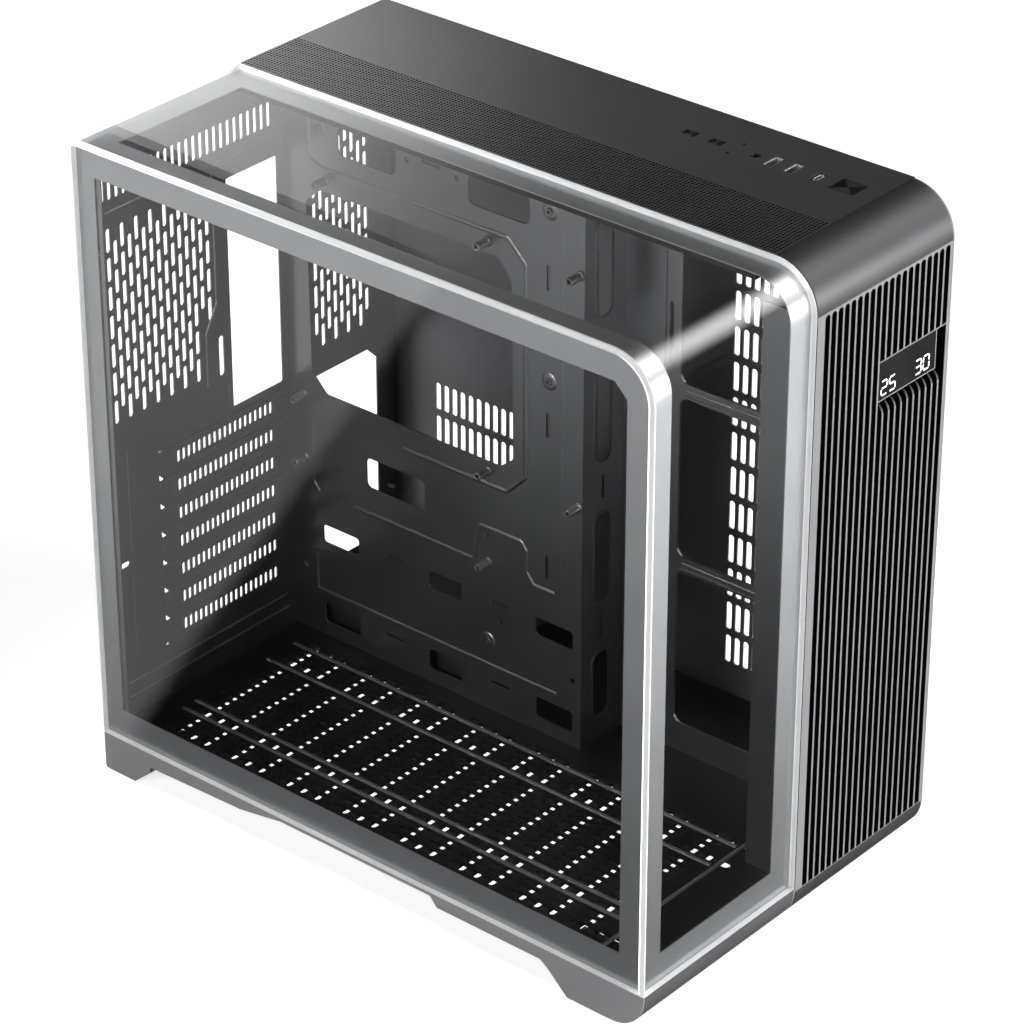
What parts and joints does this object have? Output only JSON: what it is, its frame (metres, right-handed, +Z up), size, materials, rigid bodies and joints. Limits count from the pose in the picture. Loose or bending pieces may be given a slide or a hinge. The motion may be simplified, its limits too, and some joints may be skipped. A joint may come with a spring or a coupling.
{
  "type": "computer case",
  "caption": "Desktop computer case with a bent glass front and top, glass side, slatted front strip with a small display, top controls and a board tray inside.",
  "frame": {"origin": "centre of the footprint on the surface it stands on", "axes": "+Z up, the front faces -Y, the glass side faces -X, the steel side faces +X"},
  "size_m": [0.277, 0.44, 0.441],
  "materials": {
    "painted_steel": "satin",
    "tinted_glass": "polished",
    "glass_border": "gloss",
    "dark_plastic": "satin",
    "black_plastic": "matte",
    "key_plastic": "spun",
    "screen": "gloss",
    "bare_steel": "bright",
    "circuit_board": "satin",
    "switch_plastic": "matte",
    "light_pipe": "clear",
    "foot_rubber": "matte"
  },
  "bodies": {
    "case": {"audio_jack": "black_plastic", "base_grille": "dark_plastic", "base_rail_left": "dark_plastic", "base_rail_right": "dark_plastic", "button_switches": "switch_plastic", "cable_step": "painted_steel", "control_board": "circuit_board", "control_carrier": "black_plastic", "display_housing": "black_plastic", "display_screen": "screen", "drive_bracket": "painted_steel", "expansion_cover_1": "painted_steel", "expansion_cover_2": "painted_steel", "expansion_cover_3": "painted_steel", "expansion_cover_4": "painted_steel", "expansion_cover_5": "painted_steel", "expansion_cover_6": "painted_steel", "expansion_cover_7": "painted_steel", "floor_pan": "painted_steel", "foot_pads": "foot_rubber", "front_glass": "tinted_glass", "front_glass_frame": "glass_border", "front_lip": "dark_plastic", "front_panel": "dark_plastic", "front_wall": "painted_steel", "light_pipes": "light_pipe", "motherboard_tray": "painted_steel", "oval_port": "bare_steel", "rear_panel": "painted_steel", "side_fan_bracket": "painted_steel", "slot_clamp": "painted_steel", "slot_screws": "bare_steel", "standoffs": "bare_steel", "supply_pads": "foot_rubber", "supply_shelf": "painted_steel", "top_frame": "painted_steel", "top_panel": "painted_steel", "wide_port_1": "bare_steel", "wide_port_2": "bare_steel"},
    "side_cover": {"side_glass": "tinted_glass", "side_glass_frame": "glass_border", "side_glass_studs": "bare_steel"},
    "right_cover": {"right_panel": "painted_steel", "panel_screws": "bare_steel"},
    "power_key": {"power_button": "key_plastic"},
    "reset_key": {"reset_button": "key_plastic"},
    "light_key": {"light_button": "key_plastic"}
  },
  "joints": [
    {"name": "power_press", "type": "slide", "parent": "case", "child": "power_key", "axis": [0, 0, -1], "range_m": [0, 0.0012], "stiffness_N_per_m": 500},
    {"name": "reset_press", "type": "slide", "parent": "case", "child": "reset_key", "axis": [0, 0, -1], "range_m": [0, 0.0012], "stiffness_N_per_m": 500},
    {"name": "light_press", "type": "slide", "parent": "case", "child": "light_key", "axis": [0, 0, -1], "range_m": [0, 0.0012], "stiffness_N_per_m": 500},
    {"name": "side_cover_pull", "type": "slide", "parent": "case", "child": "side_cover", "axis": [-1, 0, 0], "range_m": [0, 0.08]},
    {"name": "right_cover_slide", "type": "slide", "parent": "case", "child": "right_cover", "axis": [0, 1, 0], "range_m": [0, 0.012]}
  ]
}
